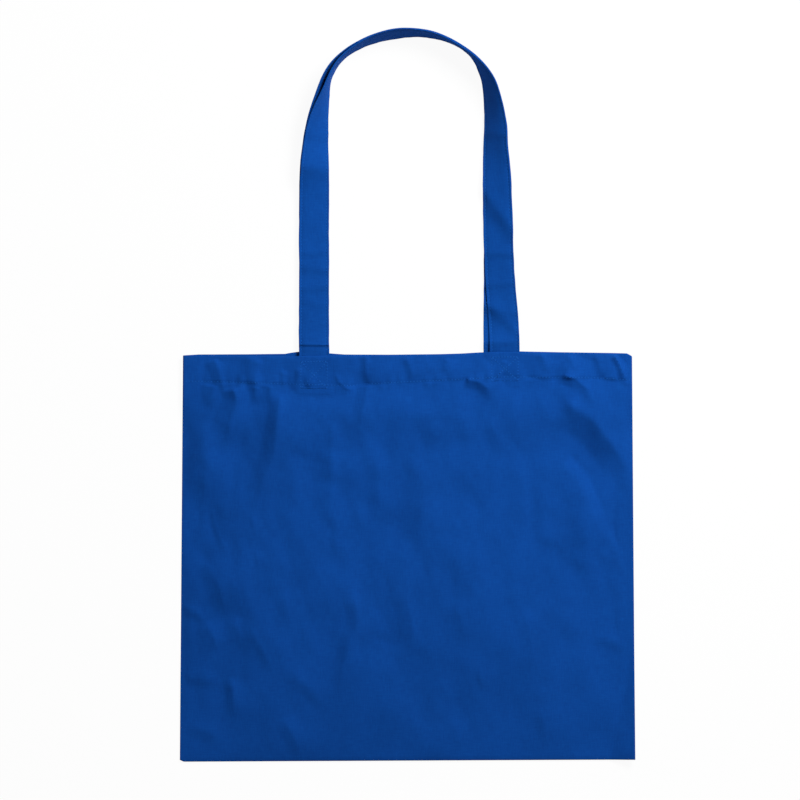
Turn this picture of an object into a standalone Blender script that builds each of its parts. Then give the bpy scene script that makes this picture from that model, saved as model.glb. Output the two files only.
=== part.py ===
"""Cotton tote bag with two long shoulder handles, lying flat on its back panel.

The body is one length of cloth folded at the bottom. Its top edges are turned in twice
as hems, its side edges are turned inside and sewn. Each handle is a strip of the same
cloth folded into four layers, with both ends sewn to the inside of a hem.
X runs to the right, Y from the bottom fold towards the handles, Z up from the floor.
"""

import math

import bmesh
import bpy
from mathutils import Vector

# Body
MOUTH_WIDTH = 0.419
BASE_WIDTH = 0.425
BODY_HEIGHT = 0.380
HEM_DEPTH = 0.027
HEM_TURN = 0.010
SEAM_ALLOWANCE = 0.010
CLOTH = 0.00035
LAYER_GAP = 0.00015
BODY_LOFT = 0.0105
SIDE_SLOPE = 0.120
BASE_SLOPE = 0.090
MOUTH_LOFT = 0.0010

# Handles
STRAP_WIDTH = 0.028
HANDLE_RISE = 0.304
LEFT_LEG_X = -0.0873
RIGHT_LEG_X = 0.0848
FRONT_LEG_SHIFT = 0.006
FRONT_SHIFT_END = 0.115
STRAP_TUCK = 0.030
ARCH_DEPTH = 0.177
STRAP_RAMP = 0.028
STRAP_RAW_EDGE = 0.0012
SHOULDER_SPREAD = 0.003
SHOULDER_REACH = 0.030

# Sewing thread
THREAD = 0.00025
THREAD_WIDTH = 0.0005
CLEARANCE = 0.0003
HEM_ROW_INSET = 0.002
EDGE_ROW_INSET = 0.0024
BOX_INSET = 0.00175
BOX_HEIGHT = 0.0235
BOX_TOP = 0.0050
OVERLOCK_HEIGHT = 0.0006
ROW_END = 0.0015

# Fineness of the meshes
MAIN_COLUMNS = 24
WALL_ROWS = 13
BACK_ROWS = 4
ROLL_STEPS = 3
BASE_STEPS = 4
LEG_STEP = 0.033
ARCH_STEP = 0.0080

# Sizes that follow from the ones above
PITCH = CLOTH + LAYER_GAP
FLAT_ROLL = PITCH / 2
HEM_ROLL = 2.5 * PITCH
BASE_ROLL = 1.5 * PITCH
BACK_Z = CLOTH / 2
HEM_STACK = CLOTH + 2 * PITCH
STRAP_THICKNESS = CLOTH + 3 * PITCH
THREAD_ROOM = CLEARANCE + THREAD + CLEARANCE
BOX_WIDTH = STRAP_WIDTH - 2 * BOX_INSET
STRAP_SEAT = HEM_STACK + THREAD_ROOM
STRAP_PITCH = STRAP_THICKNESS + THREAD_ROOM
FRONT_HEM_Z = STRAP_SEAT + STRAP_PITCH + STRAP_THICKNESS + CLEARANCE + HEM_STACK - CLOTH / 2
SIDE_HEM_Z = BACK_Z + 4 * HEM_ROLL + PITCH
HEM_LOW = BODY_HEIGHT - HEM_DEPTH + CLOTH / 2
HEM_ROW = BODY_HEIGHT - HEM_DEPTH + HEM_ROW_INSET
FLAT_FROM = BODY_HEIGHT - STRAP_TUCK - 0.006
EASE_FROM = FLAT_FROM - 0.024
BASE_Y = -(BODY_HEIGHT + HANDLE_RISE) / 2
MOUTH_Y = BASE_Y + BODY_HEIGHT

# Inside line of the two handles over the loop, from the left leg to the right leg:
# share of the way across, drop below the crown as a share of ARCH_DEPTH, lean of the
# strap in degrees (0 lies flat, 90 stands on its edge)
ARCH = (
    (0.000, 1.000, 0),
    (0.000, 0.870, 8),
    (0.000, 0.746, 18),
    (-0.004, 0.610, 31),
    (-0.005, 0.486, 45),
    (-0.002, 0.362, 60),
    (0.008, 0.249, 74),
    (0.042, 0.169, 80),
    (0.105, 0.107, 80),
    (0.190, 0.062, 78),
    (0.320, 0.028, 76),
    (0.460, 0.008, 76),
    (0.595, 0.000, 80),
    (0.720, 0.014, 85),
    (0.840, 0.051, 89),
    (0.920, 0.107, 86),
    (0.968, 0.192, 76),
    (0.990, 0.282, 66),
    (1.000, 0.418, 52),
    (1.000, 0.554, 40),
    (0.997, 0.695, 28),
    (0.997, 0.859, 9),
    (1.000, 1.000, 0),
)
CROWN_LEAN = math.radians(76)
CROWN_DROP = 0.0015
SHOULDER_ROW = 8

# Soft folds of the front wall: place across, place above the bottom fold, half length,
# half width, turn in degrees from upright, height
FOLDS = (
    (-0.168, 0.322, 0.030, 0.013, -6, -0.0014),
    (-0.133, 0.290, 0.055, 0.015, -16, 0.0016),
    (-0.070, 0.285, 0.045, 0.014, 0, -0.0012),
    (0.140, 0.196, 0.032, 0.015, 48, 0.0014),
    (0.186, 0.240, 0.050, 0.014, 32, 0.0013),
    (-0.006, 0.122, 0.045, 0.014, -4, 0.0015),
    (-0.060, 0.128, 0.050, 0.013, 6, -0.0013),
    (-0.180, 0.170, 0.050, 0.015, -20, 0.0013),
    (0.064, 0.335, 0.020, 0.013, 55, -0.0010),
    (0.130, 0.060, 0.035, 0.015, -22, 0.0012),
)


def smoothstep(start, end, value):
    """Zero up to start, one from end on, with a soft change between."""
    share = min(max((value - start) / (end - start), 0.0), 1.0)
    return share * share * (3 - 2 * share)


def swell(distance, reach):
    """Zero at a sewn edge, rising to one at the given distance from it."""
    left = 1 - min(max(distance / reach, 0.0), 1.0)
    return 1 - left * left


# Body cloth


def half_width(v):
    """Half of the bag's outer width at height v above the bottom fold."""
    return (BASE_WIDTH + (MOUTH_WIDTH - BASE_WIDTH) * v / BODY_HEIGHT) / 2


def roll_radius(v):
    """Radius of the turned side edge, larger in the hem where three layers turn."""
    return FLAT_ROLL + (HEM_ROLL - FLAT_ROLL) * smoothstep(EASE_FROM, FLAT_FROM, v)


def side_height(v):
    """Height of the front wall's middle plane at the side edges."""
    return BACK_Z + 4 * roll_radius(v) + PITCH


def mouth_height(x):
    """Height of the front wall over the hem: level over the straps, swelling between."""
    left_inner = LEFT_LEG_X + STRAP_WIDTH
    right_inner = RIGHT_LEG_X - STRAP_WIDTH
    left_outer = LEFT_LEG_X - STRAP_WIDTH
    right_outer = RIGHT_LEG_X + FRONT_LEG_SHIFT + STRAP_WIDTH
    side = MOUTH_WIDTH / 2
    rise = smoothstep(-side, left_outer, x) * (1 - smoothstep(right_outer, side, x))
    middle = (left_inner + right_inner) / 2
    swelling = smoothstep(left_inner, middle, x) * (1 - smoothstep(middle, right_inner, x))
    return SIDE_HEM_Z + (FRONT_HEM_Z - SIDE_HEM_Z) * rise + MOUTH_LOFT * swelling


def fold_height(x, v):
    """Sum of the soft folds at a point of the front wall."""
    total = 0.0
    for place, height_up, half_length, half_wide, turn, height in FOLDS:
        angle = math.radians(turn)
        along = (v - height_up) * math.cos(angle) - (x - place) * math.sin(angle)
        across = (x - place) * math.cos(angle) + (v - height_up) * math.sin(angle)
        total += height * math.exp(-((along / half_length) ** 2) - (across / half_wide) ** 2)
    return total


def front_height(x, v):
    """Height of the front wall's middle plane, clear of everything between the walls."""
    edge = half_width(v) - CLOTH / 2 - roll_radius(v) - abs(x)
    cushion = swell(edge, SIDE_SLOPE) * swell(v, BASE_SLOPE)
    body = (BODY_LOFT + fold_height(x, v)) * cushion
    hem = smoothstep(EASE_FROM, FLAT_FROM, v)
    return side_height(v) + body * (1 - hem) + (mouth_height(x) - SIDE_HEM_Z) * hem


def section_columns():
    """Columns of the cloth from one raw side edge to the other: kind, side and place."""
    right = [("roll", 1, math.pi * step / ROLL_STEPS) for step in range(1, ROLL_STEPS + 1)]
    right.append(("flap", 1, 0.0))
    left = [(kind, -1, place) for kind, side, place in reversed(right)]
    main = [("main", 1, 2 * step / MAIN_COLUMNS - 1) for step in range(MAIN_COLUMNS + 1)]
    return left + main + right


def section_place(column, v, depth):
    """Place across, depth below the outermost layer, and whether on the open wall."""
    kind, side, place = column
    radius = roll_radius(v)
    centre = half_width(v) - CLOTH / 2 - radius
    if kind == "main":
        return centre * place, depth, True
    if kind == "roll":
        inner = radius - depth
        return side * (centre + inner * math.sin(place)), radius - inner * math.cos(place), False
    return side * (centre - SEAM_ALLOWANCE), 2 * radius - depth, False


def hem_profile():
    """The turned hem as height and depth, from the raw edge to the start of the wall."""
    fold_centre = BODY_HEIGHT - CLOTH / 2 - PITCH
    profile = [(HEM_LOW + HEM_TURN, PITCH), (HEM_LOW, PITCH), (HEM_LOW, 2 * PITCH)]
    profile.append(((HEM_LOW + fold_centre) / 2, 2 * PITCH))
    for step in range(ROLL_STEPS + 1):
        angle = math.pi * step / ROLL_STEPS
        profile.append((fold_centre + PITCH * math.sin(angle), PITCH + PITCH * math.cos(angle)))
    return profile


def wall_rows(count):
    """Heights of the rows of a wall, from below the hem fold down to the bottom fold."""
    top = [(FLAT_FROM + BODY_HEIGHT) / 2, FLAT_FROM, (FLAT_FROM + EASE_FROM) / 2]
    lowest = CLOTH / 2 + BASE_ROLL
    lower = [EASE_FROM + (lowest - EASE_FROM) * step / count for step in range(count + 1)]
    return top + lower


def body_points():
    """Middle plane of the whole cloth, row by row from the front hem to the back hem."""
    columns = section_columns()
    rows = []
    for v, depth in hem_profile() + [(v, 0.0) for v in wall_rows(WALL_ROWS)]:
        row = []
        for column in columns:
            x, below, open_wall = section_place(column, v, depth)
            top = front_height(x, v) if open_wall else side_height(v)
            row.append(Vector((x, v, top - below)))
        rows.append(row)
    turn_v = CLOTH / 2 + BASE_ROLL
    for step in range(1, BASE_STEPS):
        angle = math.pi * step / BASE_STEPS
        row = []
        for column in columns:
            x, below, open_wall = section_place(column, turn_v, 0.0)
            reach = BASE_ROLL - below
            z = BACK_Z + BASE_ROLL + reach * math.cos(angle)
            row.append(Vector((x, turn_v - reach * math.sin(angle), z)))
        rows.append(row)
    back = [(v, 0.0) for v in reversed(wall_rows(BACK_ROWS))] + hem_profile()[::-1]
    for v, depth in back:
        row = []
        for column in columns:
            x, below, open_wall = section_place(column, v, depth)
            row.append(Vector((x, v, BACK_Z + below)))
        rows.append(row)
    return rows


# Handles


def spline(points, share, index):
    """Catmull-Rom curve through the points, between points index and index + 1."""
    before = points[max(index - 1, 0)]
    start = points[index]
    end = points[index + 1]
    after = points[min(index + 2, len(points) - 1)]
    result = []
    for a, b, c, d in zip(before, start, end, after):
        slope_in = (c - a) / 2
        slope_out = (d - b) / 2
        square = share * share
        cube = square * share
        value = (2 * cube - 3 * square + 1) * b + (cube - 2 * square + share) * slope_in
        value += (-2 * cube + 3 * square) * c + (cube - square) * slope_out
        result.append(value)
    return result


def handle_route():
    """Inside line of the handles as across, height above the mouth and lean in radians."""
    left = LEFT_LEG_X + STRAP_WIDTH / 2
    right = RIGHT_LEG_X - STRAP_WIDTH / 2
    reach = STRAP_WIDTH * math.cos(CROWN_LEAN)
    reach += (STRAP_PITCH + STRAP_THICKNESS) * math.sin(CROWN_LEAN)
    crown = HANDLE_RISE - reach + CROWN_DROP
    arch = [
        (left + (right - left) * share, crown - drop * ARCH_DEPTH, math.radians(lean))
        for share, drop, lean in ARCH
    ]
    route = leg_route(left, arch[0][1])
    shoulder = 0
    for index in range(len(arch) - 1):
        length = math.dist(arch[index][:2], arch[index + 1][:2])
        steps = max(1, round(length / ARCH_STEP))
        if index == SHOULDER_ROW:
            shoulder = len(route)
        route += [spline(arch, step / steps, index) for step in range(steps)]
    route += leg_route(right, arch[-1][1])[::-1]
    return route, shoulder


def leg_route(x, top):
    """The straight lower part of a leg, from its sewn end up to the arch."""
    ramp = [STRAP_RAMP * step / 3 for step in range(4)]
    heights = [-STRAP_TUCK] + ramp
    steps = max(1, round((top - STRAP_RAMP) / LEG_STEP))
    heights += [STRAP_RAMP + (top - STRAP_RAMP) * step / steps for step in range(1, steps)]
    return [[x, height, 0.0] for height in heights]


def handle_frames():
    """For each station of the handles: seat, width direction, face direction, spread."""
    route, shoulder = handle_route()
    travelled = [0.0]
    for here, there in zip(route, route[1:]):
        travelled.append(travelled[-1] + math.dist(here[:2], there[:2]))
    frames = []
    for index, (x, height, lean) in enumerate(route):
        before = route[max(index - 1, 0)]
        after = route[min(index + 1, len(route) - 1)]
        along = Vector((after[0] - before[0], after[1] - before[1], 0.0)).normalized()
        outward = Vector((-along.y, along.x, 0.0))
        up = Vector((0.0, 0.0, 1.0))
        wide = outward * math.cos(lean) + up * math.sin(lean)
        face = up * math.cos(lean) - outward * math.sin(lean)
        away = (travelled[index] - travelled[shoulder]) / SHOULDER_REACH
        spread = STRAP_PITCH + SHOULDER_SPREAD * math.exp(-away * away)
        lift = STRAP_SEAT * (1 - smoothstep(0.0, STRAP_RAMP, height))
        seat = Vector((x, height, lift)) + outward * (spread + STRAP_THICKNESS) * math.sin(lean)
        on_right = index > len(route) / 2
        shift = FRONT_LEG_SHIFT * (1 - smoothstep(0.0, FRONT_SHIFT_END, height)) if on_right else 0.0
        frames.append((seat, wide, face, spread, shift))
    return frames


def strap_section():
    """Middle line of the four folded layers of a handle, as width and thickness."""
    layer = [CLOTH / 2 + PITCH * count for count in range(4)]
    open_edge = CLOTH / 2
    closed_edge = STRAP_WIDTH - CLOTH / 2
    raw_edge = STRAP_WIDTH - STRAP_RAW_EDGE
    return [
        (raw_edge, layer[1]),
        (open_edge, layer[1]),
        (open_edge, layer[0]),
        (closed_edge, layer[0]),
        (closed_edge, layer[3]),
        (open_edge, layer[3]),
        (open_edge, layer[2]),
        (raw_edge, layer[2]),
    ]


def strap_points(frame, section, front):
    """Points of a section at one station, for the front or the back handle."""
    seat, wide, face, spread, shift = frame
    if not front:
        spread = 0.0
        shift = 0.0
    return [seat + wide * (across + shift) + face * (thick + spread) for across, thick in section]


# Mesh and object helpers


def new_object(name, mesh, place, colour, roughness):
    """An object with its own material at the given place."""
    mesh.shade_smooth()
    mesh.set_sharp_from_angle(angle=math.radians(40))
    item = bpy.data.objects.new(name, mesh)
    item.location = place
    material = bpy.data.materials.new(name + "_finish")
    material.use_nodes = True
    shader = material.node_tree.nodes["Principled BSDF"]
    shader.inputs["Base Color"].default_value = colour
    shader.inputs["Roughness"].default_value = roughness
    shader.inputs["Metallic"].default_value = 0.0
    mesh.materials.append(material)
    bpy.context.scene.collection.objects.link(item)
    return item


def sheet_mesh(name, rows, backward=()):
    """An open sheet of triangles; columns named in backward have the other diagonal."""
    work = bmesh.new()
    grid = [[work.verts.new(point) for point in row] for row in rows]
    for lower, upper in zip(grid, grid[1:]):
        for index in range(len(lower) - 1):
            a, b = lower[index], lower[index + 1]
            d, c = upper[index], upper[index + 1]
            if index in backward:
                work.faces.new((a, b, d))
                work.faces.new((b, c, d))
            else:
                work.faces.new((a, b, c))
                work.faces.new((a, c, d))
    mesh = bpy.data.meshes.new(name)
    work.to_mesh(mesh)
    work.free()
    return mesh


def give_cloth_thickness(item):
    """Half of the cloth's thickness on each side of its middle plane."""
    solidify = item.modifiers.new("cloth_thickness", "SOLIDIFY")
    solidify.thickness = CLOTH
    solidify.offset = 0.0
    solidify.use_even_offset = True
    solidify.use_quality_normals = True


def bar_mesh(name, loops):
    """A closed bar through sections of equal corner counts, with both ends capped."""
    work = bmesh.new()
    rings = [[work.verts.new(point) for point in loop] for loop in loops]
    corners = len(rings[0])
    for ring, following in zip(rings, rings[1:]):
        for corner in range(corners):
            beside = (corner + 1) % corners
            work.faces.new((ring[corner], ring[beside], following[beside], following[corner]))
    work.faces.new(rings[0])
    work.faces.new(rings[-1][::-1])
    bmesh.ops.recalc_face_normals(work, faces=work.faces)
    mesh = bpy.data.meshes.new(name)
    work.to_mesh(mesh)
    work.free()
    return mesh


CLOTH_BLUE = (0.0052, 0.0560, 0.2830, 1.0)
THREAD_BLUE = (0.0110, 0.0760, 0.3300, 1.0)
CLOTH_ROUGHNESS = 0.9
THREAD_ROUGHNESS = 0.75


def make_body():
    """The body cloth with its hems, bottom fold and turned side edges."""
    mesh = sheet_mesh("bag_body", body_points())
    item = new_object("bag_body", mesh, (0.0, BASE_Y, 0.0), CLOTH_BLUE, CLOTH_ROUGHNESS)
    give_cloth_thickness(item)


def make_handle(name, front):
    """One folded handle from its left sewn end to its right sewn end."""
    section = strap_section()
    rows = [strap_points(frame, section, front) for frame in handle_frames()]
    backward = [index for index in range(len(section) - 1) if section[index + 1][0] < section[index][0]]
    mesh = sheet_mesh(name, rows, backward)
    item = new_object(name, mesh, (0.0, MOUTH_Y, 0.0), CLOTH_BLUE, CLOTH_ROUGHNESS)
    give_cloth_thickness(item)


def make_edge_row(name, front, across):
    """One row of stitching along a handle, on its upper face, between its box stitches."""
    low = STRAP_THICKNESS + CLEARANCE
    near = across - THREAD_WIDTH / 2
    far = across + THREAD_WIDTH / 2
    section = [(near, low), (far, low), (across, low + THREAD)]
    loops = [strap_points(frame, section, front) for frame in handle_frames()[1:-1]]
    mesh = bar_mesh(name, loops)
    new_object(name, mesh, (0.0, MOUTH_Y, 0.0), THREAD_BLUE, THREAD_ROUGHNESS)


def make_hem_row(name, front):
    """The row of stitching that holds a hem, on the side of the cloth that is seen."""
    centre = half_width(HEM_ROW) - CLOTH / 2 - roll_radius(HEM_ROW)
    end = centre if front else centre - SEAM_ALLOWANCE - ROW_END
    places = [centre * (2 * step / MAIN_COLUMNS - 1) for step in range(MAIN_COLUMNS + 1)]
    places = [-end] + [place for place in places if abs(place) < end - ROW_END] + [end]
    loops = []
    for x in places:
        low = CLEARANCE + (front_height(x, HEM_ROW) + CLOTH / 2 if front else HEM_STACK)
        near = HEM_ROW - THREAD_WIDTH / 2
        far = HEM_ROW + THREAD_WIDTH / 2
        corners = [(near, low), (far, low), (far, low + THREAD), (near, low + THREAD)]
        loops.append([Vector((x, v, z)) for v, z in corners])
    mesh = bar_mesh(name, loops)
    new_object(name, mesh, (0.0, BASE_Y, 0.0), THREAD_BLUE, THREAD_ROUGHNESS)


def make_overlock(name, side):
    """The thread bound over the two raw side edges, inside the bag."""
    lowest = CLOTH / 2 + BASE_ROLL + CLEARANCE
    highest = BODY_HEIGHT - HEM_ROLL
    heights = [highest] + [v for v in wall_rows(BACK_ROWS) if lowest < v < highest - CLEARANCE]
    heights.append(lowest)
    loops = []
    for v in heights:
        radius = roll_radius(v)
        raw = half_width(v) - CLOTH / 2 - radius - SEAM_ALLOWANCE
        outer = raw - CLEARANCE
        inner = outer - THREAD
        middle = BACK_Z + 2 * radius + PITCH / 2
        low = middle - OVERLOCK_HEIGHT / 2
        high = middle + OVERLOCK_HEIGHT / 2
        corners = [(inner, low), (outer, low), (outer, high), (inner, high)]
        loops.append([Vector((side * x, v, z)) for x, z in corners])
    mesh = bar_mesh(name, loops)
    new_object(name, mesh, (0.0, BASE_Y, 0.0), THREAD_BLUE, THREAD_ROUGHNESS)


def make_box_stitch(name, x, z):
    """A stitched rectangle with its two diagonals, as one flat figure of thread."""
    half_w = BOX_WIDTH / 2
    half_h = BOX_HEIGHT / 2
    line = THREAD_WIDTH
    slope = math.hypot(half_w, half_h)
    tip_w = line * slope / (2 * half_h)
    tip_h = line * slope / (2 * half_w)
    in_w = half_w - line
    in_h = half_h - line
    top_w = in_h * half_w / half_h - tip_w
    side_h = in_w * half_h / half_w - tip_h
    outer = [(-half_w, half_h), (half_w, half_h), (half_w, -half_h), (-half_w, -half_h)]
    top = [(-top_w, in_h), (top_w, in_h), (0.0, tip_h)]
    right = [(in_w, side_h), (in_w, -side_h), (tip_w, 0.0)]
    bottom = [(top_w, -in_h), (-top_w, -in_h), (0.0, -tip_h)]
    left = [(-in_w, -side_h), (-in_w, side_h), (-tip_w, 0.0)]
    holes = [top, right, bottom, left]
    work = bmesh.new()
    rim = [work.verts.new((a, b, 0.0)) for a, b in outer]
    inner = [[work.verts.new((a, b, 0.0)) for a, b in hole] for hole in holes]
    for index in range(4):
        hole = inner[index]
        previous = inner[index - 1]
        work.faces.new((rim[index], rim[(index + 1) % 4], hole[1], hole[0]))
        work.faces.new((rim[index], hole[0], previous[1]))
        work.faces.new((hole[0], hole[2], previous[2], previous[1]))
    work.faces.new([hole[2] for hole in inner])
    bmesh.ops.recalc_face_normals(work, faces=work.faces)
    grown = bmesh.ops.extrude_face_region(work, geom=work.faces[:])
    raised = [part for part in grown["geom"] if isinstance(part, bmesh.types.BMVert)]
    bmesh.ops.translate(work, verts=raised, vec=(0.0, 0.0, THREAD))
    bmesh.ops.recalc_face_normals(work, faces=work.faces)
    mesh = bpy.data.meshes.new(name)
    work.to_mesh(mesh)
    work.free()
    place = (x, MOUTH_Y - BOX_TOP - half_h, z)
    new_object(name, mesh, place, THREAD_BLUE, THREAD_ROUGHNESS)


def main():
    for item in list(bpy.data.objects):
        bpy.data.objects.remove(item)
    make_body()
    make_handle("front_handle", True)
    make_handle("back_handle", False)
    for front, side in ((True, "front"), (False, "back")):
        make_hem_row(side + "_hem_stitching", front)
        make_edge_row(side + "_handle_inner_stitching", front, EDGE_ROW_INSET)
        make_edge_row(side + "_handle_outer_stitching", front, STRAP_WIDTH - EDGE_ROW_INSET)
    make_overlock("left_side_seam_thread", -1)
    make_overlock("right_side_seam_thread", 1)
    front_z = FRONT_HEM_Z + CLOTH / 2 + THREAD_ROOM
    back_z = STRAP_SEAT + STRAP_THICKNESS + CLEARANCE
    make_box_stitch("front_left_box_stitching", LEFT_LEG_X, front_z)
    make_box_stitch("front_right_box_stitching", RIGHT_LEG_X + FRONT_LEG_SHIFT, front_z)
    make_box_stitch("back_left_box_stitching", LEFT_LEG_X, back_z)
    make_box_stitch("back_right_box_stitching", RIGHT_LEG_X, back_z)


main()
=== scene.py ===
"""The looks of a cotton tote bag that lies flat on its back panel, seen from above.

The cloth is built as it is sewn: one length folded at the bottom, with turned hems and
turned side edges, two handles folded in four, and single stitches of thread.
"""

import math

import bpy
import numpy as np
from mathutils import Matrix, Vector


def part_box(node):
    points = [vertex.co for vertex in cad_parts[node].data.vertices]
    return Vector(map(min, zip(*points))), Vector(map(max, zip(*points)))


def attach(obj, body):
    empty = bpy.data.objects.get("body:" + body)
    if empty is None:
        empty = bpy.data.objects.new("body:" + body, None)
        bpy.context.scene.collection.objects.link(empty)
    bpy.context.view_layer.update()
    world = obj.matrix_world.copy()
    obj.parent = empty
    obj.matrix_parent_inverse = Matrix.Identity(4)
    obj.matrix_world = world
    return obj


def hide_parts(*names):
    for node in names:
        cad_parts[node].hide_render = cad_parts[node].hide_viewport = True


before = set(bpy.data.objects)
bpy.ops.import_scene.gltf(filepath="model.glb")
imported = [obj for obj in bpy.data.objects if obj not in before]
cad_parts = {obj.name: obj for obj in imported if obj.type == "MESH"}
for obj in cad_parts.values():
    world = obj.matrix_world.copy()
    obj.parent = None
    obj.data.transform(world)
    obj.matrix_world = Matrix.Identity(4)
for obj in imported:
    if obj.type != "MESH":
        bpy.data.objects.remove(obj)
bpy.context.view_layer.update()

# Sizes taken from the frame
body_low, body_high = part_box("bag_body")
BASE_Y = body_low.y
MOUTH_Y = body_high.y
BODY_HEIGHT = MOUTH_Y - BASE_Y
BASE_WIDTH = body_high.x - body_low.x
row_low, row_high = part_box("front_hem_stitching")
HEM_ROW = (row_low.y + row_high.y) / 2 - BASE_Y

MM = 0.001

# Sizes of the bag, as it is sewn
MOUTH_WIDTH = 0.419
HEM_DEPTH = 0.027
HEM_TURN = 0.010
SEAM_ALLOWANCE = 0.010
CLOTH = 0.00035
PITCH = 0.0005

# Swelling of the front wall, how far from its edges it is full, and the depth of its folds
BODY_LOFT = 0.0092
LEFT_SLOPE = 0.120
RIGHT_SLOPE = 0.210
BASE_SLOPE = 0.170
MOUTH_LOFT = 0.0010
FOLD_SCALE = 1.15

# The handles: their legs beside the mouth, their tucked ends and their four layers
STRAP_WIDTH = 0.028
HANDLE_RISE = 0.304
LEFT_LEG_X = -0.0873
RIGHT_LEG_X = 0.0848
FRONT_LEG_SHIFT = 0.006
FRONT_SHIFT_END = 0.115
STRAP_TUCK = 0.030
STRAP_RAMP = 0.028
STRAP_RAW_EDGE = 0.0012
STRAP_CLOTH = 0.00024
STRAP_LAYER = 0.00028
STRAP_GAP = 0.00024
EDGE_ROW_INSET = 0.0024
THREAD_ROOM = 0.00085

# The handles' padding: its height, the groove of the edge rows and the puckers beside them
PADDING = 0.00034
EDGE_PRESS = 0.00024
EDGE_GROOVE = 0.0008
EDGE_PUCKER = 0.00014

# The lie of the handles: how they lean at rest and part at the left shoulder, the hump below
# that shoulder, the curl of the right leg's outer edge, the lift of the front handle and
# how loosely its layers lie
ARCH_DEPTH = 0.177
SHOULDER_FAN = 8.0
SHOULDER_REACH = 0.025
LEFT_REST_LEAN = 5.0
RIGHT_REST_LEAN = 12.0
HUMP_RIDGE = 0.1725
HUMP_SLANT = 0.13
HUMP_RISE = 0.036
HUMP_FALL = 0.024
HUMP_HEIGHT = 0.0046
CURL_DEPTH = 0.0060
CURL_FROM = 0.35
FRONT_LIFT = 0.0042
STRAP_EASE = 0.00025

# Sizes that follow from the ones above
FLAT_ROLL = PITCH / 2
HEM_ROLL = 2.5 * PITCH
BASE_ROLL = 1.5 * PITCH
BACK_Z = CLOTH / 2
HEM_STACK = CLOTH + 2 * PITCH
STRAP_THICKNESS = CLOTH + 3 * PITCH
STRAP_SEAT = HEM_STACK + THREAD_ROOM
STRAP_PITCH = STRAP_THICKNESS + THREAD_ROOM
STRAP_STACK = STRAP_CLOTH + 3 * STRAP_LAYER
FRONT_HEM_Z = STRAP_SEAT + STRAP_PITCH + STRAP_THICKNESS + 0.0003 + HEM_STACK - CLOTH / 2
SIDE_HEM_Z = BACK_Z + 4 * HEM_ROLL + PITCH
HEM_LOW = BODY_HEIGHT - HEM_DEPTH + CLOTH / 2
FLAT_FROM = BODY_HEIGHT - STRAP_TUCK - 0.006
EASE_FROM = FLAT_FROM - 0.040

# The way towards the main light, across and up the bag, and a distance beyond all others
LIGHT_SIDE = (0.77, 0.64)
FAR_OFF = 1e9

# Fineness of the cloth
MAIN_COLUMNS = 248
WALL_ROWS = 92
HEM_ROWS = 32
BACK_ROWS = 14
ROLL_STEPS = 5
BASE_STEPS = 6
STATION_STEP = 0.0026
FINE_STEP = 0.0008
CREASED_END = 0.014

# Inside line of the two handles over the loop, from the left leg to the right leg:
# share of the way across, drop below the crown as a share of ARCH_DEPTH, lean of the
# strap in degrees (0 lies flat, 90 stands on its edge)
ARCH = (
    (0, 1, 6), (0, 0.87, 9), (0, 0.746, 15), (-0.004, 0.61, 30), (-0.005, 0.486, 43),
    (-0.002, 0.362, 58), (0.008, 0.249, 73), (0.042, 0.169, 79), (0.105, 0.107, 82), (0.19, 0.062, 81),
    (0.32, 0.028, 75), (0.46, 0.008, 73), (0.595, 0, 78), (0.72, 0.014, 83), (0.84, 0.051, 88),
    (0.92, 0.107, 85), (0.968, 0.192, 76), (0.99, 0.282, 66), (1, 0.418, 53), (1, 0.554, 41),
    (0.997, 0.695, 26), (0.997, 0.859, 18), (1, 1, 10),
)
CROWN_LEAN = math.radians(76)
CROWN_DROP = 0.0015
SHOULDER_ROW = 6

# The camera looks straight down from far off, so a place in the picture is a place on the bag
CAMERA_PLACE = (-0.0070, -0.00546, 9.0)
VIEW_WIDTH = 0.7467
PICTURE = 800

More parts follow.
